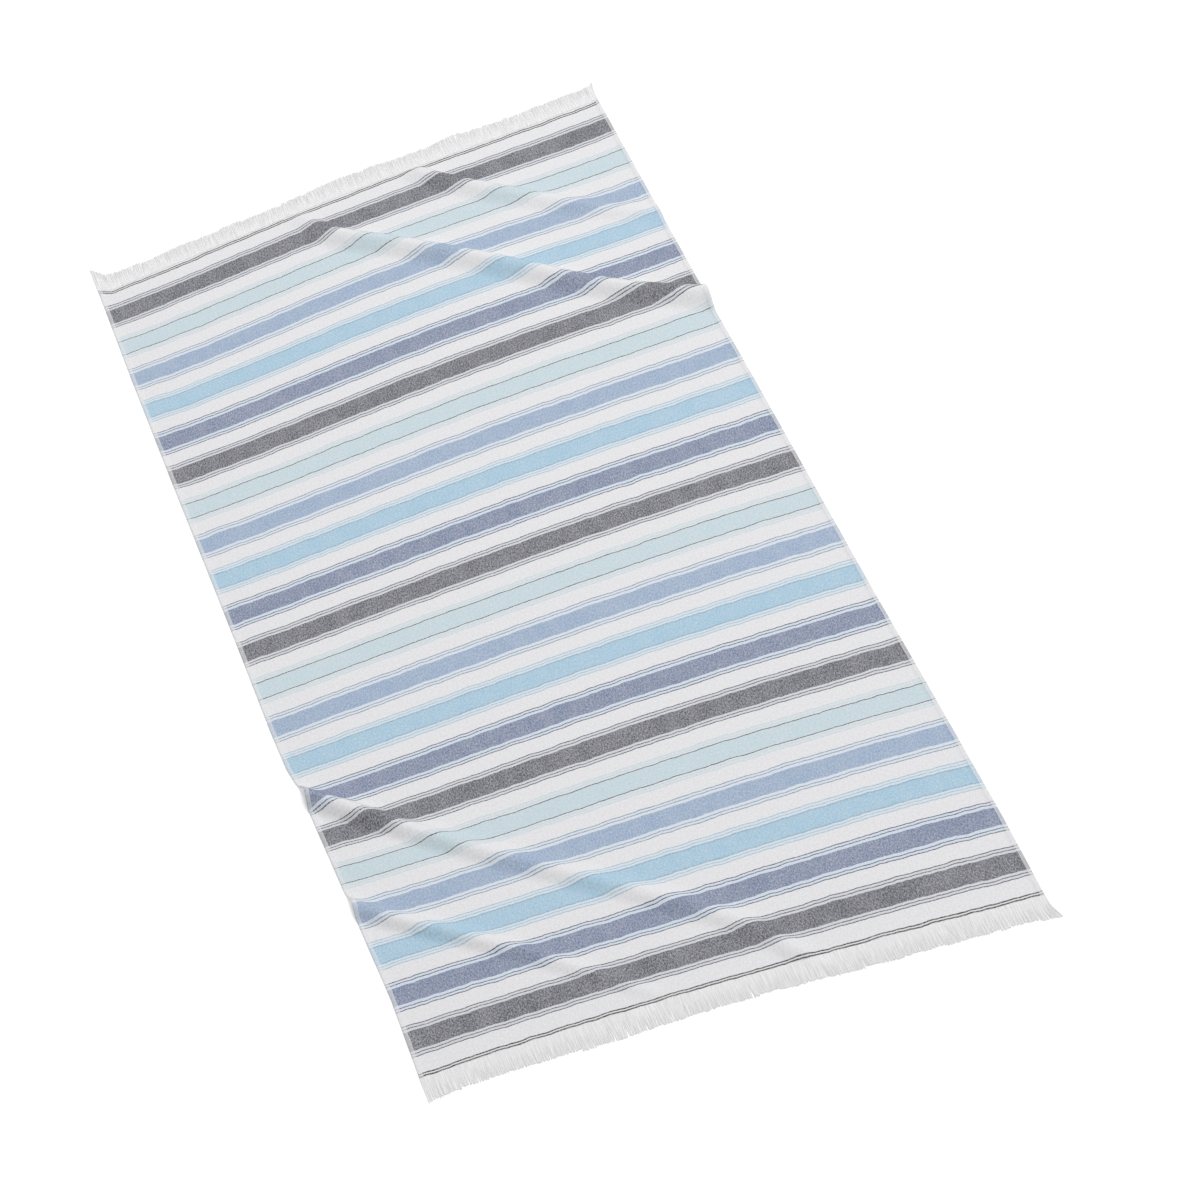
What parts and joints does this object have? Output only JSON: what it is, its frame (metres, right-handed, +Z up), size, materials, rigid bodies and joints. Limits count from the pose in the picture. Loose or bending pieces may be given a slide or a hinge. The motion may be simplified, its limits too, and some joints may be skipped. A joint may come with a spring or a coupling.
{
  "type": "beach towel",
  "caption": "Flat-woven striped cotton beach towel lying open on a floor, with turned side hems, cut fringes at its ends and soft diagonal folds.",
  "frame": {"origin": "on the floor, at the middle of the box round the towel as it lies", "axes": "+X across the towel, +Y along it towards its far end, +Z up from the floor"},
  "size_m": [1.0336, 1.8867, 0.0235],
  "materials": {
    "woven_cotton": "flat-woven cotton, white ground with dyed weft stripes, matte",
    "fringe_yarn": "loose undyed white cotton yarn, matte"
  },
  "bodies": {
    "root": {"towel_cloth": "woven_cotton", "fringe_far": "fringe_yarn", "fringe_near": "fringe_yarn"}
  },
  "joints": []
}
